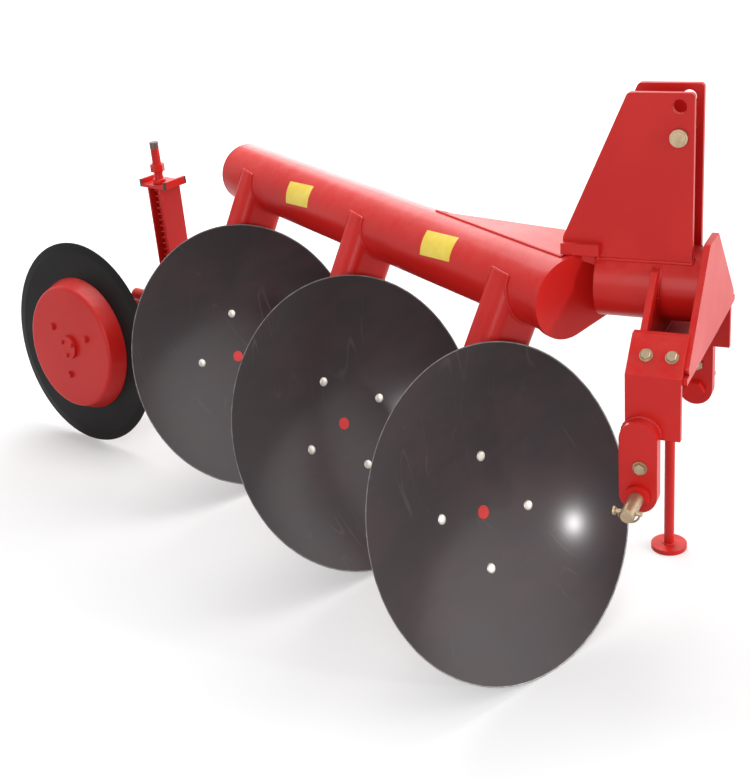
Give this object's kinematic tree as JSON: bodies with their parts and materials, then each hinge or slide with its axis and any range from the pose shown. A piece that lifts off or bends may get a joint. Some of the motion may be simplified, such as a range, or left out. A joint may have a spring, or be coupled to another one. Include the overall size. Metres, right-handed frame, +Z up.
{
  "type": "mounted disc plough",
  "caption": "Mounted disc plough: free-turning dished discs on legs under a slanting tube beam, with a tractor hitch headstock, a spring-set rear furrow wheel and a parking stand.",
  "frame": {"origin": "on the ground, under the middle of the whole plough's box", "axes": "+X forward, the way the plough travels, +Y to its left, +Z up"},
  "size_m": [2.0294, 1.2494, 1.07],
  "materials": {
    "red_paint": "glossy red paint",
    "black_paint": "glossy black paint",
    "bare_steel": "zinc plated, slightly yellowed"
  },
  "bodies": {
    "frame": {"main_tube": "red_paint", "rear_cap": "red_paint", "headstock_tube": "red_paint", "end_plate": "red_paint", "top_gusset": "red_paint", "mast_plate_right": "red_paint", "mast_plate_left": "red_paint", "mast_pin": "bare_steel", "hitch_front_plate": "red_paint", "hitch_rear_plate": "red_paint", "hitch_flange": "red_paint", "hitch_bracket_right": "red_paint", "link_plate_right": "red_paint", "lower_pin_right": "bare_steel", "hitch_bracket_left": "red_paint", "link_plate_left": "red_paint", "lower_pin_left": "bare_steel", "stand_sleeve": "red_paint", "bearing_housing_1": "red_paint", "leg_1": "red_paint", "bearing_housing_2": "red_paint", "leg_2": "red_paint", "bearing_housing_3": "red_paint", "leg_3": "red_paint", "tail_arm": "red_paint", "wheel_arm": "red_paint", "arm_bolt": "red_paint", "wheel_axle": "red_paint", "spring_channel": "red_paint", "cross_plate": "red_paint", "adjusting_screw": "bare_steel", "adjusting_nut": "bare_steel", "spring": "bare_steel"},
    "disc_1": {"disc_1": "black_paint", "disc_hub_1": "red_paint"},
    "disc_2": {"disc_2": "black_paint", "disc_hub_2": "red_paint"},
    "disc_3": {"disc_3": "black_paint", "disc_hub_3": "red_paint"},
    "rear_wheel": {"wheel_disc": "black_paint", "wheel_drum": "red_paint", "wheel_hub": "red_paint"},
    "stand": {"stand_leg": "red_paint"}
  },
  "joints": [
    {"name": "disc_1_spin", "type": "hinge", "parent": "frame", "child": "disc_1", "pos_m": [0.62511, -0.29408, 0.28628], "axis": [0.8517, -0.3971, 0.342], "continuous": true},
    {"name": "disc_2_spin", "type": "hinge", "parent": "frame", "child": "disc_2", "pos_m": [0.18402, -0.01307, 0.28628], "axis": [0.8517, -0.3971, 0.342], "continuous": true},
    {"name": "disc_3_spin", "type": "hinge", "parent": "frame", "child": "disc_3", "pos_m": [-0.25707, 0.26793, 0.28628], "axis": [0.8517, -0.3971, 0.342], "continuous": true},
    {"name": "rear_wheel_spin", "type": "hinge", "parent": "frame", "child": "rear_wheel", "pos_m": [-0.74726, 0.26914, 0.27412], "axis": [-0.2502, -0.9607, 0.1201], "continuous": true},
    {"name": "stand_slide", "type": "slide", "parent": "frame", "child": "stand", "axis": [0, 0, 1], "range_m": [0, 0.25]}
  ]
}
